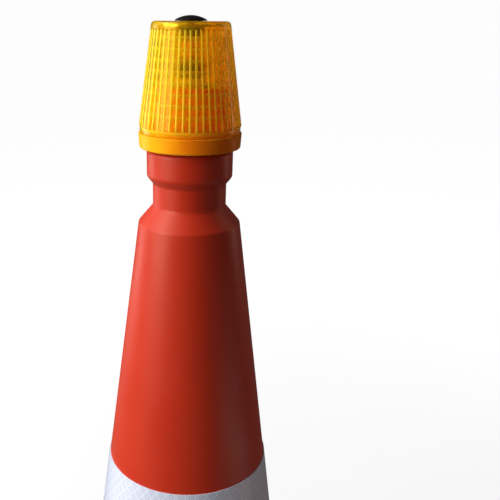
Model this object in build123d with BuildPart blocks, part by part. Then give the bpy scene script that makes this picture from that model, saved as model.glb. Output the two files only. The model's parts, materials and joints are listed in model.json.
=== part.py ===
from build123d import *
from math import cos, radians, sin
import os

# Tall two-piece traffic cone with a battery warning lamp seated in its neck.
#
# A heavy square base drops over the hollow plastic cone, onto the flange at its foot, and
# snaps under the cone's lugs. The cone carries a white reflective sleeve. The lamp stands
# in a socket in its collar: an opaque housing, a battery tube that hangs inside the neck,
# an LED tower, and a fluted amber lens held down by one domed bolt. Millimetres, +Z up,
# origin on the ground at the centre of the base.

os.makedirs("parts", exist_ok=True)

# ---- Cone: driving dimensions -------------------------------------------------------
CONE_HEIGHT = 1000.0  # ground to the flat top of the collar
WALL = 3.5
COLLAR_R, COLLAR_BOTTOM = 44.2, 972.6
NECK_R, NECK_TOP, NECK_BOTTOM = 38.1, 965.0, 941.5
SHOULDER_R, SHOULDER_Z = 53.3, 923.5
TAPER = 0.133  # radius gained per millimetre of drop below the shoulder
LEVEL_WALL = WALL * (1 + TAPER**2) ** 0.5  # the wall measured level, not square to it
SOCKET_R, SOCKET_WALL, SOCKET_DEPTH = 30.0, 3.0, 32.0
STACK_RIBS, STACK_RIB_Z, STACK_RIB_R, STACK_RIB_THICK = 6, (874.0, 912.0), 46.0, 3.0

# ---- Base and sleeve: driving dimensions --------------------------------------------
BASE_WIDTH, BASE_CORNER = 510.0, 62.0
FOOT_HEIGHT, PLATE_TOP, RING_TOP = 8.0, 28.0, 42.0
RING_R_BOTTOM, RING_R_TOP = 216.0, 190.0
PANEL_RIM, PANEL_DEPTH = 16.0, 3.0
FLANGE_R, FLANGE_THICK = 192.0, 4.0
LUGS, LUG_RISE, LUG_REACH, LUG_WIDTH = 8, 10.0, 3.0, 14.0
CORNER_FOOT_R, CORNER_FOOT_AT = 24.0, 192.0
SIDE_FOOT_WIDTH, SIDE_FOOT_LENGTH, SIDE_FOOT_AT = 28.0, 90.0, 228.0
SLEEVE_TOP, SLEEVE_HEIGHT, SLEEVE_THICK, SLEEVE_GAP = 646.4, 400.0, 0.9, 0.1

# ---- Lamp: driving dimensions; depths are measured down from the top of the lens ----
LENS_TOP = CONE_HEIGHT + 123.0
LENS_R_TOP, LENS_R_FOOT, LENS_TAPER_END, LENS_WALL = 38.2, 51.6, 98.0, 3.0
FLUTES, FLUTE_R, FLUTE_DEPTH, FLUTE_SPAN = 48, 3.2, 0.8, (9.0, 97.5)
LENS_HOLE_R, SKIRT_END = 4.6, 105.7
TONGUE_R_IN, TONGUE_R_OUT, TONGUE_END = 49.4, 50.6, 107.2
SHELF, RING_BOTTOM, RING_R, RING_R_FOOT = 106.0, 121.0, 52.2, 51.3
GROOVE_DEPTH, SEAL_THICK = 3.0, 1.7
FLOOR_THICK = 4.0
FLOOR_TOP = RING_BOTTOM - FLOOR_THICK
RIM_R_IN, RIM_R_OUT, RIM_TOP = 45.5, 48.0, 99.0
WINDOWS, WINDOW_SPAN, WINDOW_START = 3, 70.0, -74.0
SPIGOT_R, SPIGOT_TIP_R, SPIGOT_WALL, SPIGOT_END = 28.4, 28.0, 2.5, 165.0
GRIP_THICK, GRIP_RIBS, GRIP_PITCH = 0.8, 5, 7.0
GASKET_R_IN, GASKET_R_OUT = 31.5, 41.0
CLEAR = 0.3  # between pieces that move past each other

COVER_R_FOOT, COVER_R_TOP, COVER_TOP, COVER_WALL = 43.0, 41.0, 60.0, 2.0
COVER_SCREWS, COVER_SCREW_AT, COVER_BOSS_R, COVER_BOSS_RISE = 3, 37.0, 4.2, 15.0
COVER_SCREW_R, COVER_SCREW_HEAD_R, COVER_SCREW_HEAD, COVER_SCREW_LENGTH = 1.7, 3.6, 2.0, 14.0
COVER_POSTS, POST_R, POST_AT = 3, 2.4, 31.5
BOARD_R, BOARD_TOP, BOARD_THICK = 35.5, 66.0, 1.6
BOARD_FOOT = BOARD_TOP + BOARD_THICK
CAPACITOR_R, CAPACITOR_LENGTH, CAPACITOR_SPOTS = 4.0, 12.0, ((28.0, 0.0), (20.5, 19.5))
CHIP_HEIGHT = 3.0
CHIPS = ((-26.0, 6.0, 7.0, 10.0), (-8.0, 27.0, 9.0, 9.0))  # centre, width and length of each
SWITCH_SIDE, SWITCH_CORNER = 6.2, 0.6
BUTTON_AT, BUTTON_ANGLE, BUTTON_R, BUTTON_PROUD, BUTTON_TRAVEL = 29.0, -60.0, 3.9, 3.5, 1.5
BUTTON_FOOT, BUTTON_FLANGE, BUTTON_FLANGE_REACH = COVER_TOP + COVER_WALL + 0.6, 0.5, 1.2
PHOTOCELL_AT, PHOTOCELL_ANGLE, PHOTOCELL_R, PHOTOCELL_PROUD = 29.0, 60.0, 2.6, 2.5

TOWER_R, TOWER_BORE_R, TOWER_TOP, TOWER_FLANGE_R, TOWER_FLANGE = 8.5, 5.0, 14.0, 16.0, 2.5
INSERT_R, INSERT_BORE_R, INSERT_LENGTH = 6.0, 4.3, 13.0
CARRIER_TOP, CARRIER_FOOT, CARRIER_FLAT = 33.5, 49.5, 13.4
LED_COLUMNS, LED_ROWS, LED_R, LED_LENGTH, LED_SEAT = 8, (37.5, 45.5), 2.45, 8.0, 2.0
REFLECTOR_R_FOOT, REFLECTOR_R_TOP, REFLECTOR_TOP = 16.5, 14.0, 50.5
LEAD_R, LEAD_AT, LEAD_TURN = 0.7, 2.6, 41.5

BOLT_R, BOLT_END, HEAD_R, HEAD_HEIGHT, HEAD_RIM = 4.0, 25.0, 15.5, 5.4, 1.2
WASHER_R, WASHER_THICK, HEAD_GAP = 11.0, 1.0, 0.15
CAPTIVE_R, CAPTIVE_TOP, CAPTIVE_FOOT = 13.0, 3.3, 13.0

TUBE_R_IN, TUBE_R_OUT, TUBE_TOP, TUBE_LID, TUBE_END = 17.6, 19.8, 70.0, 2.0, 201.0
TUBE_FLANGE_R, TUBE_FLANGE, TUBE_SCREWS, TUBE_SCREW_AT = 30.0, 3.0, 4, 24.0
TUBE_SCREW_R, TUBE_SCREW_LENGTH, TUBE_SCREW_HEAD_R, TUBE_SCREW_HEAD = 1.29, 7.5, 2.8, 1.8
TUBE_SCREW_PILOT_R, TUBE_SCREW_PASS_R = 1.3, 1.5
CELL_R, CELL_LENGTH, NUB_R, NUB_HEIGHT = 16.6, 61.5, 4.75, 1.9
CONTACT_R, CONTACT_THICK, CONTACT_ROD_R = 7.0, 0.8, 2.1
CELLS_TOP = TUBE_TOP + TUBE_LID + CONTACT_THICK
STRIP_AT, STRIP_WIDTH, STRIP_THICK = 18.1, 5.0, 0.5

CAP_R, CAP_TOP, CAP_FLOOR, CAP_END = 22.8, 186.0, 203.0, 205.5
CAP_TURN, CAP_LUGS, CAP_LUG_SPAN, CAP_LUG_TOP, CAP_LUG_FOOT = 45.0, 2, 14.0, 189.5, 192.0
CAP_LUG_REACH, CAP_SLOT_SPARE = 1.6, 1.5
CAP_FLUTES, CAP_FLUTE_R, CAP_FLUTE_HEIGHT = 18, 2.2, 11.0
COIN_SLOT_LENGTH, COIN_SLOT_WIDTH, COIN_SLOT_DEPTH = 22.0, 2.4, 1.4
CAP_SEAL_R_IN, CAP_CONTACT_R, CAP_CONTACT = 18.8, 18.6, 0.4
SPRING_R, SPRING_WIRE_R, SPRING_TURNS = 8.0, 0.5, 3


def cone_radius(z):
    """Outer radius of the tapered wall at a height."""
    return SHOULDER_R + TAPER * (SHOULDER_Z - z)


def below(depth):
    """Height of a level that lies that far under the top of the lens."""
    return LENS_TOP - depth


def lens_radius(depth):
    """Outer radius of the lens's tapered wall, at a depth under its top."""
    return LENS_R_TOP + (LENS_R_FOOT - LENS_R_TOP) * depth / LENS_TAPER_END


def outline(*points, angle=0):
    """Closed section of (radius, height[, corner radius]) points, upright at an angle."""
    with BuildSketch(Plane.XZ.rotated((0, 0, angle))) as section:
        with BuildLine():
            corners = [point[2] if len(point) > 2 else 0 for point in points]
            FilletPolyline(*[point[:2] for point in points], radius=corners, close=True)
        make_face()
    return section.sketch


def band(r_in, r_out, bottom, top, angle=0):
    """Rectangular section of a ring, upright at an angle."""
    return outline((r_in, bottom), (r_out, bottom), (r_out, top), (r_in, top), angle=angle)


def upward(radius, angle, height):
    """Plane at a polar position that faces up."""
    turn = radians(angle)
    return Plane(origin=(radius * cos(turn), radius * sin(turn), height))


def outward(radius, angle, height):
    """Plane at a polar position that faces away from the axis."""
    turn = radians(angle)
    spot = (radius * cos(turn), radius * sin(turn), height)
    return Plane(origin=spot, x_dir=(0, 0, 1), z_dir=(cos(turn), sin(turn), 0))


def save(piece, label):
    """Labels a finished piece and writes its STEP file."""
    piece.part.label = label
    export_step(piece.part, f"parts/{label}.step")


# ---- Cone ---------------------------------------------------------------------------
with BuildPart() as cone_body:
    # Flange and outside up to the collar, down the lamp socket, and back down the inside.
    revolve(
        outline(
            (cone_radius(FOOT_HEIGHT) - LEVEL_WALL, FOOT_HEIGHT),
            (FLANGE_R, FOOT_HEIGHT, 1.5),
            (FLANGE_R, FOOT_HEIGHT + FLANGE_THICK, 1.5),
            (cone_radius(FOOT_HEIGHT + FLANGE_THICK), FOOT_HEIGHT + FLANGE_THICK),
            (SHOULDER_R, SHOULDER_Z, 2.5),
            (NECK_R, NECK_BOTTOM, 4.0),
            (NECK_R, NECK_TOP, 1.2),
            (COLLAR_R, COLLAR_BOTTOM, 7.0),
            (COLLAR_R, CONE_HEIGHT, 4.0),
            (SOCKET_R, CONE_HEIGHT, 1.5),
            (SOCKET_R, CONE_HEIGHT - SOCKET_DEPTH, 1.0),
            (SOCKET_R + SOCKET_WALL, CONE_HEIGHT - SOCKET_DEPTH, 1.0),
            (SOCKET_R + SOCKET_WALL, CONE_HEIGHT - WALL),
            (COLLAR_R - WALL, CONE_HEIGHT - WALL, 1.0),
            (COLLAR_R - WALL, COLLAR_BOTTOM + 1.0, 3.5),
            (NECK_R - WALL, NECK_TOP - 3.0, 3.0),
            (NECK_R - WALL, NECK_BOTTOM - 1.5, 1.0),
            (SHOULDER_R - WALL, SHOULDER_Z - 1.6, 1.0),
        ),
        axis=Axis.Z,
    )
    # Ribs inside the shoulder, which stop stacked cones from jamming on each other.
    rib_foot, rib_top = STACK_RIB_Z
    rib = outline(
        (STACK_RIB_R, rib_foot),
        (cone_radius(rib_foot) - LEVEL_WALL / 2, rib_foot),
        (cone_radius(rib_top) - LEVEL_WALL / 2, rib_top),
    )
    rib_solid = extrude(rib, amount=STACK_RIB_THICK / 2, both=True, mode=Mode.PRIVATE)
    with PolarLocations(0, STACK_RIBS):
        add(rib_solid)
    # Wedges that snap over the base's raised ring and lock the cone down.
    lug_foot = RING_TOP + CLEAR
    lug = outline(
        (cone_radius(lug_foot) - WALL / 2, lug_foot),
        (cone_radius(lug_foot) + LUG_REACH, lug_foot),
        (cone_radius(lug_foot) + LUG_REACH, lug_foot + 2),
        (cone_radius(lug_foot + LUG_RISE) - WALL / 2, lug_foot + LUG_RISE),
    )
    lug_solid = extrude(lug, amount=LUG_WIDTH / 2, both=True, mode=Mode.PRIVATE)
    with PolarLocations(0, LUGS, start_angle=180 / LUGS):
        add(lug_solid)
save(cone_body, "cone_body")

# ---- Base ---------------------------------------------------------------------------
with BuildPart() as cone_base:
    with BuildSketch(Plane.XY.offset(FOOT_HEIGHT)):
        RectangleRounded(BASE_WIDTH, BASE_WIDTH, BASE_CORNER)
    extrude(amount=PLATE_TOP - FOOT_HEIGHT)
    fillet(cone_base.faces().sort_by(Axis.Z)[-1].edges(), 5)
    # Shallow panel between the rim and the raised ring.
    with BuildSketch(Plane.XY.offset(PLATE_TOP)):
        panel_width = BASE_WIDTH - 2 * PANEL_RIM
        RectangleRounded(panel_width, panel_width, BASE_CORNER - PANEL_RIM)
    extrude(amount=-PANEL_DEPTH, mode=Mode.SUBTRACT)
    ring_r_in = cone_radius(RING_TOP) - WALL
    panel_z = PLATE_TOP - PANEL_DEPTH
    revolve(
        outline(
            (ring_r_in, FOOT_HEIGHT + 1),
            (RING_R_BOTTOM + 4, FOOT_HEIGHT + 1),
            (RING_R_BOTTOM + 4, panel_z),
            (RING_R_BOTTOM, panel_z, 3.0),
            (RING_R_TOP, RING_TOP, 4.0),
            (ring_r_in, RING_TOP),
        ),
        axis=Axis.Z,
    )
    # Tapered hole that the cone fills, and the recess under it for the cone's flange.
    hole_foot, hole_top = FOOT_HEIGHT - 1, RING_TOP + 1
    revolve(
        outline(
            (0, hole_foot),
            (cone_radius(hole_foot) + CLEAR, hole_foot),
            (cone_radius(hole_top) + CLEAR, hole_top),
            (0, hole_top),
        ),
        axis=Axis.Z,
        mode=Mode.SUBTRACT,
    )
    revolve(
        band(ring_r_in, FLANGE_R + 1, hole_foot, FOOT_HEIGHT + FLANGE_THICK),
        axis=Axis.Z,
        mode=Mode.SUBTRACT,
    )
    # Feet: round pads in the corners and bars along the sides.
    with BuildSketch(Plane.XY):
        with GridLocations(2 * CORNER_FOOT_AT, 2 * CORNER_FOOT_AT, 2, 2):
            Circle(CORNER_FOOT_R)
        with PolarLocations(SIDE_FOOT_AT, 4):
            RectangleRounded(SIDE_FOOT_WIDTH, SIDE_FOOT_LENGTH, SIDE_FOOT_WIDTH / 2 - 1)
    extrude(amount=FOOT_HEIGHT)
    fillet(cone_base.faces().group_by(Axis.Z)[0].edges(), 2)
save(cone_base, "cone_base")

# ---- Reflective sleeve --------------------------------------------------------------
with BuildPart() as reflective_sleeve:
    sleeve_foot = SLEEVE_TOP - SLEEVE_HEIGHT
    foot_r = cone_radius(sleeve_foot) + SLEEVE_GAP
    top_r = cone_radius(SLEEVE_TOP) + SLEEVE_GAP
    revolve(
        outline(
            (foot_r, sleeve_foot),
            (foot_r + SLEEVE_THICK, sleeve_foot),
            (top_r + SLEEVE_THICK, SLEEVE_TOP),
            (top_r, SLEEVE_TOP),
        ),
        axis=Axis.Z,
    )
save(reflective_sleeve, "reflective_sleeve")

# ---- Lamp housing: ring, floor, upper rim and lower spigot --------------------------
with BuildPart() as lamp_housing:
    groove_foot = SHELF + GROOVE_DEPTH
    revolve(
        outline(
            (TUBE_R_OUT + CLEAR, below(FLOOR_TOP)),
            (TUBE_R_OUT + CLEAR, below(RING_BOTTOM)),
            (SPIGOT_R - SPIGOT_WALL, below(RING_BOTTOM)),
            (SPIGOT_TIP_R - SPIGOT_WALL, below(SPIGOT_END)),
            (SPIGOT_TIP_R, below(SPIGOT_END), 1.0),
            (SPIGOT_R, below(RING_BOTTOM)),
            (RING_R_FOOT, below(RING_BOTTOM), 1.8),
            (RING_R, below(SHELF), 0.5),
            (TONGUE_R_OUT + CLEAR, below(SHELF)),
            (TONGUE_R_OUT + CLEAR, below(groove_foot)),
            (TONGUE_R_IN - CLEAR, below(groove_foot)),
            (TONGUE_R_IN - CLEAR, below(SHELF)),
            (RIM_R_OUT, below(SHELF)),
            (RIM_R_OUT, below(RIM_TOP), 0.6),
            (RIM_R_IN, below(RIM_TOP), 0.6),
            (RIM_R_IN, below(FLOOR_TOP), 1.5),
        ),
        axis=Axis.Z,
    )
    # Gaps in the rim, which key the lens.
    for index in range(WINDOWS):
        start = WINDOW_START + index * 360 / WINDOWS
        gap = band(RIM_R_IN - 1, RIM_R_OUT + 0.1, below(SHELF), below(RIM_TOP - 1), start)
        revolve(gap, axis=Axis.Z, revolution_arc=WINDOW_SPAN, mode=Mode.SUBTRACT)
    # The cover's screws come from below, and the battery tube's from above.
    with Locations(Location((0, 0, below(RING_BOTTOM)), (180, 0, 0))):
        with PolarLocations(COVER_SCREW_AT, COVER_SCREWS):
            head_r = COVER_SCREW_HEAD_R + 0.2
            CounterSinkHole(COVER_SCREW_R + CLEAR, head_r, depth=FLOOR_THICK + 1)
    with Locations((0, 0, below(FLOOR_TOP))):
        with PolarLocations(TUBE_SCREW_AT, TUBE_SCREWS, start_angle=45):
            Hole(TUBE_SCREW_PILOT_R, depth=FLOOR_THICK + 1)
save(lamp_housing, "lamp_housing")

# ---- Gasket, grip and seal ----------------------------------------------------------
with BuildPart() as collar_gasket:
    revolve(
        band(GASKET_R_IN, GASKET_R_OUT, CONE_HEIGHT, below(RING_BOTTOM)),
        axis=Axis.Z,
    )
save(collar_gasket, "collar_gasket")

with BuildPart() as spigot_grip:
    grip_top, grip_foot = below(RING_BOTTOM + 2.5), below(SPIGOT_END - 4)
    grip_r = SPIGOT_R + GRIP_THICK
    revolve(band(SPIGOT_R, grip_r, grip_foot, grip_top), axis=Axis.Z)
    for index in range(GRIP_RIBS):
        ridge_z = grip_top - 4 - index * GRIP_PITCH
        ridge = outline(
            (grip_r - 0.3, ridge_z - 1.6),
            (SOCKET_R - CLEAR, ridge_z - 0.4),
            (SOCKET_R - CLEAR, ridge_z + 0.4),
            (grip_r - 0.3, ridge_z + 1.6),
        )
        revolve(ridge, axis=Axis.Z)
save(spigot_grip, "spigot_grip")

with BuildPart() as lens_seal:
    seal_foot = below(SHELF + GROOVE_DEPTH)
    revolve(
        band(TONGUE_R_IN - 0.2, TONGUE_R_OUT + 0.2, seal_foot, seal_foot + SEAL_THICK),
        axis=Axis.Z,
    )
save(lens_seal, "lens_seal")

# ---- Inner cover and its screws -----------------------------------------------------
with BuildPart() as inner_cover:
    lid_foot = below(COVER_TOP + COVER_WALL)
    revolve(
        outline(
            (COVER_R_FOOT - COVER_WALL, below(FLOOR_TOP)),
            (COVER_R_FOOT, below(FLOOR_TOP)),
            (COVER_R_TOP, below(COVER_TOP), 2.5),
            (TOWER_BORE_R, below(COVER_TOP)),
            (TOWER_BORE_R, lid_foot),
            (COVER_R_TOP - COVER_WALL, lid_foot, 1.0),
        ),
        axis=Axis.Z,
    )
    with BuildSketch(Plane.XY.offset(below(FLOOR_TOP))):
        with PolarLocations(COVER_SCREW_AT, COVER_SCREWS):
            Circle(COVER_BOSS_R)
    extrude(amount=COVER_BOSS_RISE)
    with BuildSketch(Plane.XY.offset(below(FLOOR_TOP))):
        with PolarLocations(COVER_SCREW_AT, COVER_SCREWS):
            Circle(COVER_SCREW_R)
    extrude(amount=COVER_BOSS_RISE - 3, mode=Mode.SUBTRACT)
    # Posts that the control board is bonded to.
    with BuildSketch(Plane.XY.offset(below(BOARD_TOP))):
        with PolarLocations(POST_AT, COVER_POSTS):
            Circle(POST_R)
    extrude(amount=BOARD_TOP - COVER_TOP - COVER_WALL)
    with Locations(upward(BUTTON_AT, BUTTON_ANGLE, below(COVER_TOP))):
        Hole(BUTTON_R + CLEAR, depth=COVER_WALL + 1)
    with Locations(upward(PHOTOCELL_AT, PHOTOCELL_ANGLE, below(COVER_TOP))):
        Hole(PHOTOCELL_R + 0.1, depth=COVER_WALL + 1)
save(inner_cover, "inner_cover")

with BuildPart() as cover_screws:
    countersunk = outline(
        (0, 0.1),
        (COVER_SCREW_HEAD_R, 0.1),
        (COVER_SCREW_R, COVER_SCREW_HEAD),
        (COVER_SCREW_R, COVER_SCREW_LENGTH - 2),
        (COVER_SCREW_R / 2, COVER_SCREW_LENGTH),
        (0, COVER_SCREW_LENGTH),
    )
    cover_screw = revolve(countersunk, axis=Axis.Z, mode=Mode.PRIVATE)
    with Locations((0, 0, below(RING_BOTTOM))):
        with PolarLocations(COVER_SCREW_AT, COVER_SCREWS):
            add(cover_screw)
save(cover_screws, "cover_screws")

# ---- Control board, switch, button and light sensor ---------------------------------
with BuildPart() as control_board:
    with BuildSketch(Plane.XY.offset(below(BOARD_FOOT))):
        Circle(BOARD_R)
    extrude(amount=BOARD_THICK)
save(control_board, "control_board")

with BuildPart() as board_parts:
    with BuildSketch(Plane.XY.offset(below(BOARD_FOOT))):
        with Locations(*CAPACITOR_SPOTS):
            Circle(CAPACITOR_R)
    extrude(amount=-CAPACITOR_LENGTH)
    with BuildSketch(Plane.XY.offset(below(BOARD_FOOT))):
        for x, y, width, length in CHIPS:
            with Locations((x, y)):
                Rectangle(width, length)
    extrude(amount=-CHIP_HEIGHT)
save(board_parts, "board_parts")

with BuildPart() as button_switch:
    with BuildSketch(upward(BUTTON_AT, BUTTON_ANGLE, below(BOARD_TOP))):
        RectangleRounded(SWITCH_SIDE, SWITCH_SIDE, SWITCH_CORNER)
    extrude(amount=BOARD_TOP - BUTTON_FOOT - BUTTON_TRAVEL)
save(button_switch, "button_switch")

with BuildPart() as power_button:
    with BuildSketch(upward(BUTTON_AT, BUTTON_ANGLE, below(BUTTON_FOOT))):
        Circle(BUTTON_R)
    extrude(amount=BUTTON_FOOT - COVER_TOP + BUTTON_PROUD)
    fillet(power_button.edges().group_by(Axis.Z)[-1], 0.8)
    with BuildSketch(upward(BUTTON_AT, BUTTON_ANGLE, below(BUTTON_FOOT))):
        Circle(BUTTON_R + BUTTON_FLANGE_REACH)
    extrude(amount=BUTTON_FLANGE)
save(power_button, "power_button")

with BuildPart() as photocell:
    with BuildSketch(upward(PHOTOCELL_AT, PHOTOCELL_ANGLE, below(BOARD_TOP))):
        Circle(PHOTOCELL_R)
    extrude(amount=BOARD_TOP - COVER_TOP + PHOTOCELL_PROUD)
    fillet(photocell.edges().group_by(Axis.Z)[-1], 1.6)
save(photocell, "photocell")

# ---- Battery tube, cells and contacts -----------------------------------------------
with BuildPart() as battery_tube:
    flange_top = below(FLOOR_TOP - TUBE_FLANGE)
    revolve(
        outline(
            (TUBE_R_IN, below(TUBE_END)),
            (TUBE_R_OUT, below(TUBE_END)),
            (TUBE_R_OUT, below(FLOOR_TOP)),
            (TUBE_FLANGE_R, below(FLOOR_TOP)),
            (TUBE_FLANGE_R, flange_top, 0.8),
            (TUBE_R_OUT, flange_top),
            (TUBE_R_OUT, below(TUBE_TOP), 1.0),
            (CONTACT_ROD_R + 0.1, below(TUBE_TOP)),
            (CONTACT_ROD_R + 0.1, below(TUBE_TOP + TUBE_LID)),
            (TUBE_R_IN, below(TUBE_TOP + TUBE_LID)),
        ),
        axis=Axis.Z,
    )
    # Channel along the inside for the return strip.
    with BuildSketch(Plane.XY.offset(below(TUBE_END))):
        with Locations((0, STRIP_AT - 0.2)):
            Rectangle(STRIP_WIDTH + 0.4, STRIP_THICK + 0.9)
    extrude(amount=TUBE_END - TUBE_TOP, mode=Mode.SUBTRACT)
    with Locations((0, 0, flange_top)):
        with PolarLocations(TUBE_SCREW_AT, TUBE_SCREWS, start_angle=45):
            Hole(TUBE_SCREW_PASS_R, depth=TUBE_FLANGE + 1)
    # Bayonet lugs for the cap.
    for index in range(CAP_LUGS):
        start = index * 360 / CAP_LUGS - CAP_LUG_SPAN / 2
        lug_r = TUBE_R_OUT + CAP_LUG_REACH
        lug = band(TUBE_R_OUT - 0.5, lug_r, below(CAP_LUG_FOOT), below(CAP_LUG_TOP), start)
        revolve(lug, axis=Axis.Z, revolution_arc=CAP_LUG_SPAN)
save(battery_tube, "battery_tube")

with BuildPart() as tube_screws:
    pan_head = outline(
        (0, -TUBE_SCREW_LENGTH),
        (TUBE_SCREW_R / 2, -TUBE_SCREW_LENGTH),
        (TUBE_SCREW_R, 1 - TUBE_SCREW_LENGTH),
        (TUBE_SCREW_R, 0),
        (TUBE_SCREW_HEAD_R, 0),
        (TUBE_SCREW_HEAD_R, TUBE_SCREW_HEAD, 0.8),
        (0, TUBE_SCREW_HEAD),
    )
    tube_screw = revolve(pan_head, axis=Axis.Z, mode=Mode.PRIVATE)
    with Locations((0, 0, flange_top)):
        with PolarLocations(TUBE_SCREW_AT, TUBE_SCREWS, start_angle=45):
            add(tube_screw)
save(tube_screws, "tube_screws")

with BuildPart() as positive_contact:
    with BuildSketch(Plane.XY.offset(below(CELLS_TOP))):
        Circle(CONTACT_R)
    extrude(amount=CONTACT_THICK)
    with BuildSketch(Plane.XY.offset(below(CELLS_TOP))):
        Circle(CONTACT_ROD_R)
    extrude(amount=CELLS_TOP - BOARD_FOOT)
save(positive_contact, "positive_contact")

for cell_index, cell_label in enumerate(("battery_upper", "battery_lower")):
    cell_top = CELLS_TOP + cell_index * CELL_LENGTH
    with BuildPart() as battery:
        revolve(
            outline(
                (0, below(cell_top)),
                (NUB_R, below(cell_top), 0.8),
                (NUB_R, below(cell_top + NUB_HEIGHT)),
                (CELL_R, below(cell_top + NUB_HEIGHT), 1.2),
                (CELL_R, below(cell_top + CELL_LENGTH), 1.2),
                (0, below(cell_top + CELL_LENGTH)),
            ),
            axis=Axis.Z,
        )
    save(battery, cell_label)

with BuildPart() as return_strip:
    strip_foot = CAP_FLOOR - CAP_CONTACT - 0.1
    with BuildSketch(Plane.XY.offset(below(strip_foot))):
        with Locations((0, STRIP_AT)):
            Rectangle(STRIP_WIDTH, STRIP_THICK)
    extrude(amount=strip_foot - BOARD_FOOT)
save(return_strip, "return_strip")

# ---- Bayonet cap on the lower end of the battery tube -------------------------------
with BuildPart() as battery_cap:
    revolve(
        outline(
            (0, below(CAP_FLOOR)),
            (0, below(CAP_END)),
            (CAP_R, below(CAP_END), 1.5),
            (CAP_R, below(CAP_TOP), 0.6),
            (TUBE_R_OUT + CLEAR, below(CAP_TOP)),
            (TUBE_R_OUT + CLEAR, below(CAP_FLOOR)),
        ),
        axis=Axis.Z,
    )
    # L-shaped slots: a lug enters from the top edge, then the cap turns to hold it.
    slot_r_in = TUBE_R_OUT - 1
    slot_r_out = TUBE_R_OUT + CAP_LUG_REACH + 0.4
    entry_span = CAP_LUG_SPAN + 2 * CAP_SLOT_SPARE
    slot_foot = below(CAP_LUG_FOOT + CLEAR)
    for index in range(CAP_LUGS):
        start = index * 360 / CAP_LUGS - CAP_TURN - entry_span / 2
        entry = band(slot_r_in, slot_r_out, slot_foot, below(CAP_TOP - 1), start)
        revolve(entry, axis=Axis.Z, revolution_arc=entry_span, mode=Mode.SUBTRACT)
        track = band(slot_r_in, slot_r_out, slot_foot, below(CAP_LUG_TOP - CLEAR), start)
        track_span = entry_span + CAP_TURN
        revolve(track, axis=Axis.Z, revolution_arc=track_span, mode=Mode.SUBTRACT)
    # Finger flutes, and a coin slot underneath.
    with BuildSketch(Plane.XY.offset(below(CAP_END))):
        with PolarLocations(CAP_R + 1.5, CAP_FLUTES, start_angle=180 / CAP_FLUTES):
            Circle(CAP_FLUTE_R)
    extrude(amount=CAP_FLUTE_HEIGHT, mode=Mode.SUBTRACT)
    with BuildSketch(Plane.XY.offset(below(CAP_END))):
        Rectangle(COIN_SLOT_LENGTH, COIN_SLOT_WIDTH)
    extrude(amount=COIN_SLOT_DEPTH, mode=Mode.SUBTRACT)
save(battery_cap, "battery_cap")

with BuildPart() as cap_seal:
    revolve(
        band(CAP_SEAL_R_IN, TUBE_R_OUT, below(CAP_FLOOR), below(TUBE_END + 0.1)),
        axis=Axis.Z,
    )
save(cap_seal, "cap_seal")

with BuildPart() as cap_contact:
    with BuildSketch(Plane.XY.offset(below(CAP_FLOOR))):
        Circle(CAP_CONTACT_R)
    extrude(amount=CAP_CONTACT)
save(cap_contact, "cap_contact")

with BuildPart() as contact_spring:
    wire_start = CAP_FLOOR - CAP_CONTACT - SPRING_WIRE_R
    wire_end = CELLS_TOP + 2 * CELL_LENGTH + SPRING_WIRE_R + 0.1
    with BuildLine() as coil:
        Helix(
            pitch=(wire_start - wire_end) / SPRING_TURNS,
            height=wire_start - wire_end,
            radius=SPRING_R,
            center=(0, 0, below(wire_start)),
        )
    with BuildSketch(Plane(origin=coil.line @ 0, z_dir=coil.line % 0)):
        Circle(SPRING_WIRE_R)
    sweep(path=coil.line, is_frenet=True)
save(contact_spring, "contact_spring")

# ---- LED tower ----------------------------------------------------------------------
with BuildPart() as led_tower:
    tower_foot = below(COVER_TOP)
    insert_foot = below(TOWER_TOP + INSERT_LENGTH)
    revolve(
        outline(
            (TOWER_BORE_R, tower_foot),
            (TOWER_FLANGE_R, tower_foot),
            (TOWER_FLANGE_R, tower_foot + TOWER_FLANGE, 0.6),
            (TOWER_R, tower_foot + TOWER_FLANGE),
            (TOWER_R, below(TOWER_TOP), 0.6),
            (INSERT_R, below(TOWER_TOP)),
            (INSERT_R, insert_foot),
            (TOWER_BORE_R, insert_foot),
        ),
        axis=Axis.Z,
    )
    # Side holes that the leads come out of, behind the LED carrier.
    with Locations(*[outward(TOWER_R, angle, below(LEAD_TURN)) for angle in (0, 180)]):
        Hole(LEAD_R + 0.2, depth=TOWER_R - LEAD_AT)
save(led_tower, "led_tower")

with BuildPart() as thread_insert:
    revolve(
        band(INSERT_BORE_R, INSERT_R, insert_foot, below(TOWER_TOP)),
        axis=Axis.Z,
    )
save(thread_insert, "thread_insert")

led_spots = [
    outward(CARRIER_FLAT, column * 360 / LED_COLUMNS, below(row))
    for column in range(LED_COLUMNS)
    for row in LED_ROWS
]
with BuildPart() as led_carrier:
    with BuildSketch(Plane.XY.offset(below(CARRIER_FOOT))):
        half_side = 180 / LED_COLUMNS
        RegularPolygon(CARRIER_FLAT, LED_COLUMNS, major_radius=False, rotation=half_side)
        Circle(TOWER_R + 0.1, mode=Mode.SUBTRACT)
    extrude(amount=CARRIER_FOOT - CARRIER_TOP)
    with Locations(*led_spots):
        Hole(LED_R + 0.1, depth=LED_SEAT)
save(led_carrier, "led_carrier")

with BuildPart() as leds:
    led_tip = LED_LENGTH - LED_SEAT
    bullet = outline((0, -LED_SEAT), (LED_R, -LED_SEAT), (LED_R, led_tip, 2.4), (0, led_tip))
    led = revolve(bullet, axis=Axis.Z, mode=Mode.PRIVATE)
    with Locations(*led_spots):
        add(led)
save(leds, "leds")

with BuildPart() as reflector_ring:
    revolve(
        outline(
            (TOWER_R + 0.1, tower_foot + TOWER_FLANGE),
            (REFLECTOR_R_FOOT, tower_foot + TOWER_FLANGE, 0.6),
            (REFLECTOR_R_TOP, below(REFLECTOR_TOP), 0.6),
            (TOWER_R + 0.1, below(REFLECTOR_TOP)),
        ),
        axis=Axis.Z,
    )
save(reflector_ring, "reflector_ring")

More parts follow.
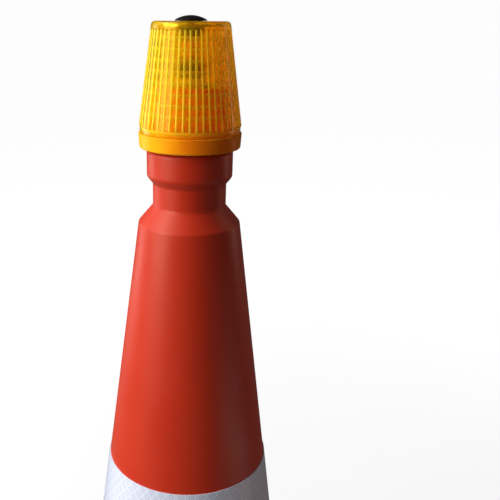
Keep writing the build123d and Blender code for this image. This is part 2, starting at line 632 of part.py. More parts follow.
with BuildPart() as led_leads:
    for side in (1, -1):
        with BuildLine() as route:
            FilletPolyline(
                (side * LEAD_AT, 0, below(BOARD_TOP)),
                (side * LEAD_AT, 0, below(LEAD_TURN)),
                (side * TOWER_R, 0, below(LEAD_TURN)),
                radius=2,
            )
        with BuildSketch(Plane.XY.offset(below(BOARD_TOP))):
            with Locations((side * LEAD_AT, 0)):
                Circle(LEAD_R)
        sweep(path=route.line)
save(led_leads, "led_leads")

# ---- Lens ---------------------------------------------------------------------------
# One bead-shaped cutter, lying along the tapered wall, makes a flute with rounded ends.
flute_centre = FLUTE_R - FLUTE_DEPTH  # how far the cutter's axis stands off the wall
flute_top, flute_foot = [
    Vector(lens_radius(depth) + flute_centre, 0, below(depth)) for depth in FLUTE_SPAN
]
flute_run = flute_top - flute_foot
flute_ends = Sphere(FLUTE_R) + Pos(0, 0, flute_run.length) * Sphere(FLUTE_R)
flute_shank = Cylinder(FLUTE_R, flute_run.length, align=(Align.CENTER, Align.CENTER, Align.MIN))
flute_cutter = Plane(origin=flute_foot, z_dir=flute_run) * (flute_shank + flute_ends)

with BuildPart() as lens:
    lens_r_in = LENS_R_FOOT - LENS_WALL
    revolve(
        outline(
            (LENS_HOLE_R, below(0)),
            (LENS_R_TOP, below(0), 4.0),
            (LENS_R_FOOT, below(LENS_TAPER_END)),
            (LENS_R_FOOT, below(SKIRT_END), 0.5),
            (TONGUE_R_OUT, below(SKIRT_END)),
            (TONGUE_R_OUT, below(TONGUE_END), 0.3),
            (TONGUE_R_IN, below(TONGUE_END), 0.3),
            (TONGUE_R_IN, below(SKIRT_END)),
            (lens_r_in, below(SKIRT_END)),
            (lens_r_in, below(LENS_TAPER_END)),
            (lens_radius(LENS_WALL) - LENS_WALL, below(LENS_WALL), 2.5),
            (LENS_HOLE_R, below(LENS_WALL)),
        ),
        axis=Axis.Z,
    )
    with PolarLocations(0, FLUTES):
        add(flute_cutter, mode=Mode.SUBTRACT)
save(lens, "lens")

# ---- Lens bolt, its washer and the collar that keeps it in the lens -----------------
with BuildPart() as lens_bolt:
    with BuildSketch(Plane.XZ):
        with BuildLine():
            TangentArc((0, below(-HEAD_HEIGHT)), (HEAD_R, below(-HEAD_RIM)), tangent=(1, 0))
            Polyline(
                (HEAD_R, below(-HEAD_RIM)),
                (HEAD_R, below(-HEAD_GAP)),
                (WASHER_R + 0.3, below(-HEAD_GAP)),
                (WASHER_R + 0.3, below(-WASHER_THICK)),
                (BOLT_R, below(-WASHER_THICK)),
                (BOLT_R, below(BOLT_END)),
                (0, below(BOLT_END)),
                (0, below(-HEAD_HEIGHT)),
            )
        make_face()
    revolve(axis=Axis.Z)
save(lens_bolt, "lens_bolt")

with BuildPart() as bolt_washer:
    revolve(
        band(BOLT_R, WASHER_R, below(0), below(-WASHER_THICK)),
        axis=Axis.Z,
    )
save(bolt_washer, "bolt_washer")

with BuildPart() as bolt_collar:
    revolve(
        outline(
            (BOLT_R, below(CAPTIVE_FOOT)),
            (CAPTIVE_R - 2, below(CAPTIVE_FOOT), 1.0),
            (CAPTIVE_R, below(CAPTIVE_TOP + 2), 1.0),
            (CAPTIVE_R, below(CAPTIVE_TOP)),
            (BOLT_R, below(CAPTIVE_TOP)),
        ),
        axis=Axis.Z,
    )
save(bolt_collar, "bolt_collar")
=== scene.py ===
"""Looks for a traffic cone with a battery warning lamp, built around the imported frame.

The CAD nodes keep their shapes and get procedural materials. Only the lens is rebuilt, as a
finer mesh with half-round ribs outside and prism rings inside. Everything is in metres, with
the ground at z = 0 and +Z up along the cone's axis.
"""

import json
import math

import bpy
from mathutils import Matrix, Vector


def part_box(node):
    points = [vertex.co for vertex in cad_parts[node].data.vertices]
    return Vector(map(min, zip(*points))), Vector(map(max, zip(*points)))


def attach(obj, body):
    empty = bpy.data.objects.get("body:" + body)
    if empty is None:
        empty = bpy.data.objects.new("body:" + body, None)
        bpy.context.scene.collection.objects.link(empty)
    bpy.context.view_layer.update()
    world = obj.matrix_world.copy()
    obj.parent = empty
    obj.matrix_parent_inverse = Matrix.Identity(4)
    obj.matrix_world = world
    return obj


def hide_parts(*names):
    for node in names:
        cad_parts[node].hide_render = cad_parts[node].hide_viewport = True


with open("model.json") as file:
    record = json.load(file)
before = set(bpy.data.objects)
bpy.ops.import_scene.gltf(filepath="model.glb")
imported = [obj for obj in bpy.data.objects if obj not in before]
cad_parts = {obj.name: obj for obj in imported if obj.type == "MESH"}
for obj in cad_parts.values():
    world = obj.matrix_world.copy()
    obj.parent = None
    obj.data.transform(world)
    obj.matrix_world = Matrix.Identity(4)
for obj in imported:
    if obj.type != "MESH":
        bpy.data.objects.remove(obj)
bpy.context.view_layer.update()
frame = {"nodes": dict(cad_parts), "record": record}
nodes = frame["nodes"]
MM = 0.001

# ---- Camera and stage ---------------------------------------------------------------
CAMERA_DISTANCE = 0.679  # level distance from the cone's axis
CAMERA_PITCH, CAMERA_ROLL = 18.89, 0.55
CAMERA_LENS, CAMERA_SENSOR, CAMERA_SHIFT = 48.2, 36.0, 0.1222
FLOOR_RINGS, FLOOR_RADIUS, FLOOR_BEND, FLOOR_TURNS = (1.0, 3.0), 8.0, 6.0, 96
FLOOR_GLOW_REACH, FLOOR_GLOW = (0.6, 2.4), (0.72, 0.96)  # brighter away from the cone
WORLD_LEVEL = 0.06
WHITE, PINK_WHITE, WARM_WHITE = (1.0, 1.0, 1.0), (1.0, 0.78, 0.74), (1.0, 0.7, 0.55)
# Name, azimuth, elevation, distance, (width, height), watts, height aimed at, colour, in
# degrees and metres. Azimuth 0 is on the camera's side, and -90 is to its left.
LIGHTS = (
    ("key", -64, 22, 2.2, (1.6, 2.2), 73, 0.8, WHITE),
    ("top", -105, 56, 2.0, (1.2, 1.2), 22, 0.8, WHITE),
    ("kicker", -120, 4, 2.4, (1.0, 2.0), 14, 0.8, WHITE),
    ("rim", 112, 14, 2.4, (0.5, 2.2), 6, 0.8, WARM_WHITE),
    ("bounce", 70, -6, 0.9, (0.7, 0.4), 0.8, 0.42, PINK_WHITE),
)

# ---- Patterns -----------------------------------------------------------------------
SHEET_ROUND, SHEET_UP = 26.0, 210.0  # sleeve cells: turn per radian round, and per metre up
CELL_PITCH, CELL_BAND = 63.4 * MM, 0.72  # battery cells: spacing, and where the band starts
HOUSING_LIT_REACH, LENS_LIT_REACH = 50.0 * MM, 45.0 * MM  # painted light: their colour turns from orange at +X to yellower on the lit side at -X

# ---- Lens: depths are measured down from the top of the lens -------------------------
RIBS, RIB_HALF_WIDTH, RIB_RISE = 48, 1.4 * MM, 0.8 * MM
RIB_STEPS = (-1.0, -0.92, -0.7, -0.38, 0.0, 0.38, 0.7, 0.92, 1.0)
VALLEY_STEPS = (0.25, 0.5, 0.75)
LENS_R_TOP, LENS_R_FOOT, LENS_TAPER_END = 38.2 * MM, 51.6 * MM, 98.0 * MM
LENS_CORNER, LENS_WALL, LENS_HOLE_R = 4.0 * MM, 3.0 * MM, 4.6 * MM
INSIDE_CORNER, TOP_RINGS = 2.0 * MM, (0.4, 0.7, 0.9)
CORNER_TURNS, RIB_FOOT_TURNS = (0, 15, 30, 45, 60, 75, 90), (25, 45, 62, 78, 90)
RIB_TOP, RIB_FADE, RIB_FOOT = 7.0 * MM, 1.5 * MM, 99.6 * MM
FADE_STEPS, RIB_DEPTHS = (0.0, 0.3, 0.7, 1.0), (30.0 * MM, 55.0 * MM, 80.0 * MM)
SKIRT_END, SKIRT_EDGE = 105.7 * MM, 0.4 * MM
TONGUE_R_OUT, TONGUE_R_IN, TONGUE_END = 50.6 * MM, 49.4 * MM, 107.2 * MM
PRISM_TOP, PRISM_PITCH, PRISM_COUNT, PRISM_RISE = 13.0 * MM, 10.2 * MM, 8, 1.9 * MM
PRISM_STEPS = (0.94, 0.75, 0.5, 0.25, 0.04, 0.0)
PLAIN_GLOW, RIB_GLOW, PRISM_GLOW = 0.28, 0.95, 1.0  # painted highlight: how much light each of them is painted to catch, as brighter, less clear colour
SHARP_ANGLE = 32  # edges that bend by more degrees than this stay sharp


# ---- Node helpers -------------------------------------------------------------------
def start(name):
    """A new material with its node tree and its Principled shader."""
    material = bpy.data.materials.new(name)
    material.use_nodes = True
    tree = material.node_tree
    return material, tree, tree.nodes["Principled BSDF"]


def put(tree, kind, inputs=None, **settings):
    """Adds a node. Inputs are values or other nodes' output sockets, by socket name or index."""
    node = tree.nodes.new(kind)
    for name, value in settings.items():
        setattr(node, name, value)
    for name, value in (inputs or {}).items():
        feed(tree, node, name, value)
    return node


def feed(tree, node, name, value):
    """Sets one input of a node to a value, or links it to another node's output socket."""
    if isinstance(value, bpy.types.NodeSocket):
        tree.links.new(value, node.inputs[name])
    else:
        node.inputs[name].default_value = value


def spot(tree, stretch=(1, 1, 1)):
    """Place on the object in metres, scaled along its axes to stretch a pattern."""
    place = put(tree, "ShaderNodeTexCoord").outputs["Object"]
    return put(tree, "ShaderNodeMapping", {"Vector": place, "Scale": stretch}).outputs["Vector"]


def noise(tree, scale, detail=4.0, stretch=(1, 1, 1)):
    """Cloudy pattern from 0 to 1; scale is in features per metre."""
    inputs = {"Vector": spot(tree, stretch), "Scale": scale, "Detail": detail}
    return put(tree, "ShaderNodeTexNoise", inputs).outputs["Fac"]


def ramp(tree, factor, *stops):
    """Colour that runs through (position, colour) stops."""
    node = put(tree, "ShaderNodeValToRGB", {"Fac": factor})
    elements = node.color_ramp.elements
    while len(elements) < len(stops):
        elements.new(1.0)
    for element, (position, colour) in zip(elements, stops):
        element.position = position
        element.color = (*colour, 1.0)
    return node.outputs["Color"]


def blend(tree, factor, first, second, mode="MIX"):
    """Mixes two colours."""
    node = put(tree, "ShaderNodeMix", data_type="RGBA", blend_type=mode)
    for index, value in ((0, factor), (6, first), (7, second)):
        colour = value if isinstance(value, (float, bpy.types.NodeSocket)) else (*value, 1.0)
        feed(tree, node, index, colour)
    return node.outputs[2]


def span(tree, value, low, high, from_low=0.0, from_high=1.0):
    """Rescales a value from one range to another."""
    inputs = {
        "Value": value, "From Min": from_low, "From Max": from_high, "To Min": low, "To Max": high,
    }
    return put(tree, "ShaderNodeMapRange", inputs).outputs["Result"]


def maths(tree, operation, first, second=0.0):
    """One arithmetic step."""
    return put(tree, "ShaderNodeMath", {0: first, 1: second}, operation=operation).outputs["Value"]


def painted_lit_side(tree, reach, drift):
    """Painted light: runs from 0 at +X to 1 on the lit side at -X, over a reach to each side, with
    some drift.
    """
    side = put(tree, "ShaderNodeSeparateXYZ", {"Vector": spot(tree)}).outputs["X"]
    return maths(tree, "ADD", span(tree, side, 1.0, 0.0, -reach, reach), drift)


def relief(tree, height, depth, normal=None):
    """Bumped normal from a height pattern, over another normal if one is given."""
    inputs = {"Height": height, "Distance": depth, "Strength": 1.0}
    if normal is not None:
        inputs["Normal"] = normal
    return put(tree, "ShaderNodeBump", inputs).outputs["Normal"]


def finish_shader(shader, **sockets):
    """Sets constants on a Principled shader; a socket's name has underscores for spaces."""
    for name, value in sockets.items():
        shader.inputs[name.replace("_", " ")].default_value = value


def see_through(tree, shader, tint, share):
    """Mixes clear tinted plastic into a shader; share is how much of it is the shader's skin."""
    clear = put(tree, "ShaderNodeBsdfTransparent", {"Color": tint}).outputs["BSDF"]
    inputs = {"Fac": share, 1: clear, 2: shader.outputs["BSDF"]}
    cover = put(tree, "ShaderNodeMixShader", inputs).outputs["Shader"]
    tree.links.new(cover, tree.nodes["Material Output"].inputs["Surface"])


# ---- Materials ----------------------------------------------------------------------
def moulded(name, dark, light, roughness, mottle=14.0, bump=0.04 * MM, edge=0.3 * MM, **sockets):
    """Moulded plastic or rubber: slow colour drift, fine grain, uneven gloss and softened edges."""
    material, tree, shader = start(name)
    drift = noise(tree, mottle)
    fine = noise(tree, 1100.0, 2.0)
    cloud = ramp(tree, drift, (0.3, dark), (0.7, light))
    speckle = span(tree, fine, 0.94, 1.06, 0.3, 0.7)
    grey = put(tree, "ShaderNodeCombineColor", {"Red": speckle, "Green": speckle, "Blue": speckle})
    feed(tree, shader, "Base Color", blend(tree, 1.0, cloud, grey.outputs["Color"], "MULTIPLY"))
    smear = noise(tree, 5 * mottle, 3.0, (1, 1, 0.4))
    feed(tree, shader, "Roughness", span(tree, smear, roughness - 0.06, roughness + 0.08, 0.3, 0.7))
    softened = put(tree, "ShaderNodeBevel", {"Radius": edge}, samples=6).outputs["Normal"]
    feed(tree, shader, "Normal", relief(tree, fine, bump, softened))
    finish_shader(shader, **sockets)
    return material


def metal(name, dark, light, roughness, stretch):
    """Plated or drawn metal: fine streaks along the work, with slight tarnish."""
    material, tree, shader = start(name)
    streaks = noise(tree, 420.0, 5.0, stretch)
    tarnish = noise(tree, 60.0, 3.0)
    feed(tree, shader, "Base Color", ramp(tree, tarnish, (0.35, dark), (0.6, light)))
    gloss = span(tree, streaks, roughness - 0.08, roughness + 0.12, 0.3, 0.7)
    feed(tree, shader, "Roughness", gloss)
    feed(tree, shader, "Normal", relief(tree, streaks, 0.02 * MM))
    finish_shader(shader, Metallic=1.0)
    return material


def sleeve_sheet():
    """Prismatic reflective sheet: pale cells in a slanted grid, sealed along fine raised lines."""
    material, tree, shader = start("reflective_sheet")
    place = put(tree, "ShaderNodeSeparateXYZ", {"Vector": spot(tree)}).outputs
    turn = maths(tree, "ARCTAN2", place["Y"], place["X"])
    across = maths(tree, "MULTIPLY", turn, SHEET_ROUND)
    up = maths(tree, "MULTIPLY", place["Z"], SHEET_UP)
    lines = []
    for sign in (1.0, -1.0):
        slant = maths(tree, "ADD", up, maths(tree, "MULTIPLY", across, sign))
        lines.append(maths(tree, "ABSOLUTE", maths(tree, "SINE", slant)))
    weld = maths(tree, "MINIMUM", *lines)
    cell = span(tree, weld, 0.0, 1.0, 0.02, 0.22)
    prisms = noise(tree, 1600.0, 1.0)
    cloud = noise(tree, 22.0, 3.0)
    pale = ramp(tree, cloud, (0.3, (0.66, 0.70, 0.82)), (0.7, (0.74, 0.77, 0.87)))
    dots = ramp(tree, prisms, (0.42, (0.80, 0.82, 0.87)), (0.58, (1.0, 1.0, 1.0)))
    sheet = blend(tree, 1.0, pale, dots, "MULTIPLY")
    feed(tree, shader, "Base Color", blend(tree, cell, (0.84, 0.86, 0.92), sheet))
    feed(tree, shader, "Roughness", span(tree, cell, 0.42, 0.28))
    feed(tree, shader, "Normal", relief(tree, maths(tree, "SUBTRACT", prisms, cell), 0.08 * MM))
    finish_shader(shader, Coat_Weight=0.25, Coat_Roughness=0.12)
    return material


def base_rubber():
    """Recycled rubber: coarse crumb relief, grey flecks and dusty patches."""
    material, tree, shader = start("base_rubber")
    crumb = put(tree, "ShaderNodeTexVoronoi", {"Vector": spot(tree), "Scale": 260.0}).outputs
    dust = noise(tree, 9.0, 6.0)
    grit = noise(tree, 700.0, 2.0)
    flecks = ramp(tree, grit, (0.62, (0.018, 0.018, 0.019)), (0.72, (0.07, 0.07, 0.07)))
    dusty = span(tree, dust, 0.0, 0.35, 0.45, 0.75)
    feed(tree, shader, "Base Color", blend(tree, dusty, flecks, (0.055, 0.052, 0.048)))
    feed(tree, shader, "Roughness", span(tree, dust, 0.62, 0.85, 0.3, 0.7))
    feed(tree, shader, "Normal", relief(tree, crumb["Distance"], 0.4 * MM))
    finish_shader(shader, Specular_IOR_Level=0.35)
    return material


def amber_housing():
    """Tinted moulding, with painted light: orange at +X, turning yellow towards the lit side at -X.
    """
    material, tree, shader = start("amber_moulding")
    flow = noise(tree, 260.0, 3.0, (1, 1, 0.25))
    drift = span(tree, noise(tree, 40.0, 3.0), -0.08, 0.08, 0.3, 0.7)
    # painted light: the colour turns yellower towards the lit side at -X and more orange at +X
    lit_side = painted_lit_side(tree, HOUSING_LIT_REACH, drift)
    orange, amber, yellow = (0.88, 0.09, 0.002), (0.94, 0.21, 0.003), (1.0, 0.46, 0.005)
    feed(tree, shader, "Base Color", ramp(tree, lit_side, (0.0, orange), (0.5, amber), (1.0, yellow)))
    feed(tree, shader, "Roughness", span(tree, flow, 0.26, 0.40, 0.3, 0.7))
    feed(tree, shader, "Normal", relief(tree, flow, 0.03 * MM))
    finish_shader(shader, Sheen_Weight=0.9, Sheen_Roughness=0.5, Sheen_Tint=(1.0, 0.72, 0.02, 1.0))
    finish_shader(shader, Specular_IOR_Level=0.15, Specular_Tint=(1.0, 0.75, 0.2, 1.0))
    return material


def amber_lens():
    """Clear amber moulding: tinted see-through plastic under a glossy, faintly hazy skin, with
    painted highlights on ribs and prisms and painted light towards -X.
    """
    material, tree, shader = start("amber_clear")
    # painted highlight: the glow mask paints rib crests and prism band tops brighter yellow, less
    # clear and more diffuse
    glow = put(tree, "ShaderNodeAttribute", attribute_name="glow").outputs["Fac"]
    drift = span(tree, noise(tree, 30.0, 3.0), -0.12, 0.12, 0.3, 0.7)
    flow = noise(tree, 500.0, 3.0, (1, 1, 0.3))
    # painted light: the colour turns yellower towards the lit side at -X and more orange at +X
    lit_side = painted_lit_side(tree, LENS_LIT_REACH, drift)
    amber, gold, yellow = (1.0, 0.54, 0.008), (1.0, 0.78, 0.02), (1.0, 0.92, 0.03)
    crest = ramp(tree, lit_side, (0.0, amber), (0.6, gold), (1.0, yellow))
    plain = ramp(tree, lit_side, (0.0, (0.90, 0.36, 0.002)), (1.0, (0.98, 0.68, 0.004)))
    feed(tree, shader, "Base Color", blend(tree, glow, plain, crest))
    feed(tree, shader, "Roughness", span(tree, flow, 0.10, 0.18, 0.3, 0.7))
    feed(tree, shader, "Normal", relief(tree, flow, 0.02 * MM))
    feed(tree, shader, "Transmission Weight", span(tree, glow, 0.99, 0.45))
    finish_shader(shader, IOR=1.45, Specular_IOR_Level=0.3, Specular_Tint=(1.0, 0.8, 0.2, 1.0))
    depth = ramp(tree, glow, (0.0, (0.97, 0.72, 0.06)), (1.0, (1.0, 0.94, 0.24)))
    see_through(tree, shader, depth, span(tree, glow, 0.74, 0.96))
    return material


def clear_epoxy(name, tint, tone, share):
    """Cast epoxy dome: glossy skin over a see-through body; share is how much of it is skin."""
    material, tree, shader = start(name)
    cloud = noise(tree, 900.0, 2.0)
    shade = [0.82 * channel for channel in tone]
    feed(tree, shader, "Base Color", ramp(tree, cloud, (0.3, shade), (0.7, tone)))
    feed(tree, shader, "Roughness", span(tree, cloud, 0.06, 0.14))
    feed(tree, shader, "Normal", relief(tree, cloud, 0.01 * MM))
    see_through(tree, shader, (*tint, 1.0), share)
    return material


def circuit_board():
    """Green solder mask over copper tracks, which show as slightly raised paler lines."""
    material, tree, shader = start("solder_mask")
    inputs = {
        "Vector": spot(tree),
        "Scale": 130.0,
        "Mortar Size": 0.035,
        "Color1": (0.012, 0.13, 0.05, 1.0),
        "Color2": (0.016, 0.16, 0.06, 1.0),
        "Mortar": (0.04, 0.26, 0.10, 1.0),
    }
    tracks = put(tree, "ShaderNodeTexBrick", inputs)
    stain = noise(tree, 90.0, 3.0)
    feed(tree, shader, "Base Color", tracks.outputs["Color"])
    feed(tree, shader, "Roughness", span(tree, stain, 0.22, 0.42, 0.3, 0.7))
    feed(tree, shader, "Normal", relief(tree, tracks.outputs["Fac"], 0.05 * MM))
    finish_shader(shader, Coat_Weight=0.3, Coat_Roughness=0.15)
    return material


def cell_jacket():
    """Plain battery wrap: dark film with a brass-coloured band at each cell's positive end."""
    material, tree, shader = start("cell_film")
    height = put(tree, "ShaderNodeSeparateXYZ", {"Vector": spot(tree)}).outputs["Z"]
    along = maths(tree, "FRACT", maths(tree, "DIVIDE", height, CELL_PITCH))
    scratch = noise(tree, 500.0, 4.0, (1, 1, 8))
    film = ramp(tree, scratch, (0.3, (0.018, 0.022, 0.032)), (0.75, (0.045, 0.052, 0.07)))
    band = ramp(tree, scratch, (0.3, (0.42, 0.27, 0.09)), (0.7, (0.52, 0.35, 0.13)))
    at_band = maths(tree, "GREATER_THAN", along, CELL_BAND)
    feed(tree, shader, "Base Color", blend(tree, at_band, film, band))
    feed(tree, shader, "Roughness", span(tree, scratch, 0.25, 0.4, 0.3, 0.7))
    feed(tree, shader, "Normal", relief(tree, scratch, 0.01 * MM))
    finish_shader(shader, Metallic=0.3)
    return material


def cone_plastic():
    """Red polyethylene of the cone, satin, with well rounded edges."""
    return moulded(
        "red_polyethylene", (0.49, 0.022, 0.0055), (0.53, 0.026, 0.007), 0.40,
        mottle=7.0, edge=2.0 * MM,
        Specular_IOR_Level=0.36, Specular_Tint=(1.0, 0.8, 0.62, 1.0),
        Sheen_Weight=0.14, Sheen_Roughness=0.5, Sheen_Tint=(1.0, 0.68, 0.45, 1.0),
    )


def bolt_coating():
    """Dull black coating of the bolt."""
    return moulded(
        "bolt_coating", (0.003, 0.0027, 0.0025), (0.006, 0.0055, 0.005), 0.42,
        mottle=90.0, bump=0.01 * MM, Specular_IOR_Level=0.08,
    )


# Plain mouldings by slot: name, darker and lighter colour, roughness, colour patches per metre.
MOULDED = {
    "seal_rubber": ("seal_rubber_black", (0.012, 0.012, 0.013), (0.022, 0.022, 0.023), 0.66, 14.0),
    "black_plastic": ("black_nylon", (0.010, 0.010, 0.010), (0.017, 0.016, 0.016), 0.38, 60.0),
    "tower_plastic": ("tower_moulding", (0.72, 0.27, 0.015), (0.80, 0.33, 0.020), 0.40, 60.0),
    "white_plastic": ("white_moulding", (0.74, 0.74, 0.72), (0.82, 0.82, 0.80), 0.32, 80.0),
    "chip_black": ("chip_epoxy", (0.016, 0.016, 0.018), (0.030, 0.030, 0.032), 0.5, 200.0),
    "button_grey": ("button_rubber", (0.10, 0.10, 0.11), (0.15, 0.15, 0.16), 0.6, 150.0),
    "lead_red": ("wire_red", (0.34, 0.012, 0.010), (0.45, 0.020, 0.015), 0.45, 150.0),
}
# Metals by slot: name, tarnished and bright colour, roughness, stretch of the streaks.
METALS = {
    "zinc_steel": ("zinc_plate", (0.48, 0.48, 0.46), (0.68, 0.68, 0.66), 0.32, (1, 1, 12)),
    "spring_steel": ("nickel_plate", (0.50, 0.48, 0.44), (0.70, 0.68, 0.63), 0.26, (1, 1, 12)),
    "insert_brass": ("turned_brass", (0.55, 0.38, 0.14), (0.72, 0.52, 0.22), 0.28, (6, 6, 1)),
}
# Epoxies by slot: name, tint seen through it, colour of its skin, share of skin.
EPOXIES = {
    "led_epoxy": ("led_epoxy_amber", (1.0, 0.75, 0.35), (0.90, 0.50, 0.08), 0.5),
    "sensor_clear": ("sensor_epoxy", (0.5, 0.5, 0.5), (0.10, 0.10, 0.11), 0.6),
}
finishes = {
    "red_plastic": cone_plastic(),
    "black_rubber": base_rubber(),
    "reflective_white": sleeve_sheet(),
    "amber_housing": amber_housing(),
    "amber_lens": amber_lens(),
    "bolt_black": bolt_coating(),
    "cell_jacket": cell_jacket(),
    "board_green": circuit_board(),
}
finishes.update({slot: moulded(*look) for slot, look in MOULDED.items()})
finishes.update({slot: metal(*look) for slot, look in METALS.items()})
finishes.update({slot: clear_epoxy(*look) for slot, look in EPOXIES.items()})
for part in frame["record"]["subparts"]:
    mesh = nodes[part["node"]].data
    mesh.materials.clear()
    mesh.materials.append(finishes[part["material_slot"]])


# ---- Lens ---------------------------------------------------------------------------
def lens_radius(depth):
    """Outer radius of the lens over the ribs, at a depth under its top."""
    return LENS_R_TOP + (LENS_R_FOOT - LENS_R_TOP) * depth / LENS_TAPER_END


def lens_outside():
    """Rings down the outside: (depth, radius between the ribs, radius on the ribs, glow there)."""
    rings = [(0.0, LENS_HOLE_R, LENS_HOLE_R, PLAIN_GLOW)]
    centre = LENS_R_TOP - LENS_CORNER
    rings += [(0.0, share * centre, share * centre, PLAIN_GLOW) for share in TOP_RINGS]
    for turn in CORNER_TURNS:
        angle = math.radians(turn)
        depth = LENS_CORNER * (1 - math.cos(angle))
        radius = centre + (lens_radius(LENS_CORNER) - centre) * math.sin(angle)
        rings.append((depth, radius, radius, PLAIN_GLOW))
    for share in FADE_STEPS:
        depth = RIB_TOP + share * RIB_FADE
        fall = RIB_RISE * (1 - math.cos(math.pi * share)) / 2
        glow = PLAIN_GLOW + share * (RIB_GLOW - PLAIN_GLOW)
        rings.append((depth, lens_radius(depth) - fall, lens_radius(depth), glow))
    round_start = RIB_FOOT - RIB_HALF_WIDTH
    for depth in (*RIB_DEPTHS, round_start):
        rings.append((depth, lens_radius(depth) - RIB_RISE, lens_radius(depth), RIB_GLOW))
    skirt = lens_radius(LENS_TAPER_END) - RIB_RISE
    for turn in RIB_FOOT_TURNS:
        angle = math.radians(turn)
        depth = round_start + RIB_HALF_WIDTH * math.sin(angle)
        rings.append((depth, skirt, skirt + RIB_RISE * math.cos(angle), RIB_GLOW))
    rings.append((SKIRT_END - SKIRT_EDGE, skirt, skirt, PLAIN_GLOW))
    return rings


def lens_inside():
    """Rings from the tongue under the skirt up the prisms to the bolt hole, in the same form."""
    foot = LENS_R_FOOT - LENS_WALL
    plain = [(SKIRT_END, TONGUE_R_OUT), (TONGUE_END, TONGUE_R_OUT), (TONGUE_END, TONGUE_R_IN)]
    plain += [(SKIRT_END, TONGUE_R_IN), (SKIRT_END, foot), (LENS_TAPER_END, foot)]
    rings = [(depth, radius, radius, PLAIN_GLOW) for depth, radius in plain]
    for index in reversed(range(PRISM_COUNT)):
        top = PRISM_TOP + index * PRISM_PITCH
        for share in PRISM_STEPS:
            depth = top + share * PRISM_PITCH
            edge = 1 - share if share else 0.0
            radius = lens_radius(depth) - LENS_WALL - edge * PRISM_RISE
            rings.append((depth, radius, radius, edge * PRISM_GLOW))
    edge = lens_radius(LENS_WALL) - LENS_WALL - INSIDE_CORNER
    plain = [
        (LENS_WALL + INSIDE_CORNER, edge + INSIDE_CORNER),
        (LENS_WALL, edge),
        (LENS_WALL, LENS_HOLE_R),
    ]
    rings += [(depth, radius, radius, PLAIN_GLOW) for depth, radius in plain]
    return rings


def ring_points(depth, between, over, top_glow):
    """Points round one ring, each (x, y, z, glow): close together over a rib, sparse between."""
    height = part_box("lens")[1].z - depth
    pitch = 2 * math.pi / RIBS
    half = min(RIB_HALF_WIDTH / over, 0.45 * pitch)
    low_glow = PLAIN_GLOW if over > between else top_glow
    points = []
    for rib in range(RIBS):
        for step in RIB_STEPS:
            bulge = math.sqrt(max(0.0, 1 - step * step))
            glow = low_glow + (top_glow - low_glow) * bulge
            points.append((between + (over - between) * bulge, rib * pitch + step * half, glow))
        for step in VALLEY_STEPS:
            points.append((between, rib * pitch + half + step * (pitch - 2 * half), low_glow))
    return [
        (radius * math.cos(turn), radius * math.sin(turn), height, glow)
        for radius, turn, glow in points
    ]


def make_lens():
    """Closed, ribbed lens, which stands for the CAD lens."""
    rings = [ring_points(*ring) for ring in lens_outside() + lens_inside()]
    count = len(rings[0])
    faces = []
    for row in range(len(rings)):
        below_row = (row + 1) % len(rings)
        for column in range(count):
            beside = (column + 1) % count
            corners = ((row, column), (below_row, column), (below_row, beside), (row, beside))
            faces.append([ring * count + place for ring, place in corners])
    mesh = bpy.data.meshes.new("ribbed_lens")
    mesh.from_pydata([point[:3] for ring in rings for point in ring], [], faces)
    mesh.polygons.foreach_set("use_smooth", [True] * len(faces))
    mesh.set_sharp_from_angle(angle=math.radians(SHARP_ANGLE))
    glow = mesh.attributes.new("glow", "FLOAT", "POINT")
    glow.data.foreach_set("value", [point[3] for ring in rings for point in ring])
    mesh.materials.append(finishes["amber_lens"])
    piece = bpy.data.objects.new("ribbed_lens", mesh)
    bpy.context.scene.collection.objects.link(piece)
    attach(piece, "lens")
    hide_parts("lens")


make_lens()


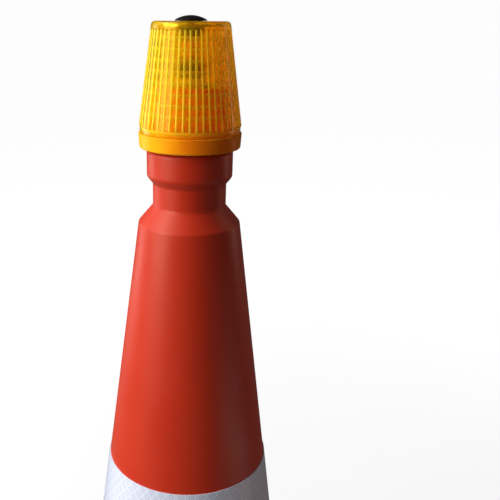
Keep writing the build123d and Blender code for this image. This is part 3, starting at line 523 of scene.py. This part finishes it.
# ---- Stage, light and camera --------------------------------------------------------
def make_floor():
    """Pale round floor that bends up into a wall all round; it adds no light to the object."""
    profile = [(radius, 0.0) for radius in (*FLOOR_RINGS, FLOOR_RADIUS)]
    for turn in range(10, 91, 10):
        angle = math.radians(turn)
        height = FLOOR_BEND * (1 - math.cos(angle))
        profile.append((FLOOR_RADIUS + FLOOR_BEND * math.sin(angle), height))
    points = []
    for radius, height in profile:
        for step in range(FLOOR_TURNS):
            turn = 2 * math.pi * step / FLOOR_TURNS
            points.append((radius * math.cos(turn), radius * math.sin(turn), height))
    faces = [list(range(FLOOR_TURNS))]
    for row in range(len(profile) - 1):
        for step in range(FLOOR_TURNS):
            beside = (step + 1) % FLOOR_TURNS
            low, high = row * FLOOR_TURNS, (row + 1) * FLOOR_TURNS
            faces.append([low + step, high + step, high + beside, low + beside])
    mesh = bpy.data.meshes.new("studio_floor")
    mesh.from_pydata(points, [], faces)
    mesh.polygons.foreach_set("use_smooth", [True] * len(faces))
    material, tree, shader = start("studio_floor")
    shade = noise(tree, 1.5, 2.0)
    grey = ramp(tree, shade, (0.3, (0.27, 0.27, 0.27)), (0.7, (0.29, 0.29, 0.29)))
    feed(tree, shader, "Base Color", grey)
    reach = put(tree, "ShaderNodeVectorMath", {0: spot(tree)}, operation="LENGTH").outputs["Value"]
    feed(tree, shader, "Emission Strength", span(tree, reach, *FLOOR_GLOW, *FLOOR_GLOW_REACH))
    finish_shader(shader, Roughness=0.9, Specular_IOR_Level=0.0, Emission_Color=(*WHITE, 1.0))
    mesh.materials.append(material)
    floor = bpy.data.objects.new("studio_floor", mesh)
    bpy.context.scene.collection.objects.link(floor)
    for kind in ("diffuse", "glossy", "shadow", "volume_scatter"):
        setattr(floor, f"visible_{kind}", False)


def make_light(name, azimuth, elevation, distance, size, power, aim_height, colour):
    """Soft rectangular light that faces a height on the cone's axis."""
    turn, rise = math.radians(azimuth), math.radians(elevation)
    level = math.cos(rise)
    way = Vector((math.sin(turn) * level, -math.cos(turn) * level, math.sin(rise)))
    lamp = bpy.data.lights.new(name, "AREA")
    lamp.shape = "RECTANGLE"
    lamp.size, lamp.size_y = size
    lamp.energy = power
    lamp.color = colour
    light = bpy.data.objects.new(name, lamp)
    light.location = Vector((0.0, 0.0, aim_height)) + distance * way
    light.rotation_euler = way.to_track_quat("Z", "Y").to_euler()
    light.visible_camera = False
    bpy.context.scene.collection.objects.link(light)


def make_camera():
    """Camera level with the lens's top, looking down at the cone's upper half."""
    lens = bpy.data.cameras.new("camera")
    lens.lens, lens.sensor_width, lens.shift_x = CAMERA_LENS, CAMERA_SENSOR, CAMERA_SHIFT
    camera = bpy.data.objects.new("camera", lens)
    tilt = Matrix.Rotation(math.radians(90 - CAMERA_PITCH), 4, "X")
    roll = Matrix.Rotation(math.radians(CAMERA_ROLL), 4, "Z")
    place = Matrix.Translation((0.0, -CAMERA_DISTANCE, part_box("lens")[1].z))
    camera.matrix_world = place @ tilt @ roll
    bpy.context.scene.collection.objects.link(camera)
    bpy.context.scene.camera = camera


def make_world(level):
    """Even grey fill from all round."""
    world = bpy.data.worlds.new("studio")
    world.use_nodes = True
    world.node_tree.nodes["Background"].inputs["Color"].default_value = (level, level, level, 1.0)
    bpy.context.scene.world = world


make_floor()
for settings in LIGHTS:
    make_light(*settings)
make_camera()
make_world(WORLD_LEVEL)
bpy.context.scene.view_settings.view_transform = "Standard"
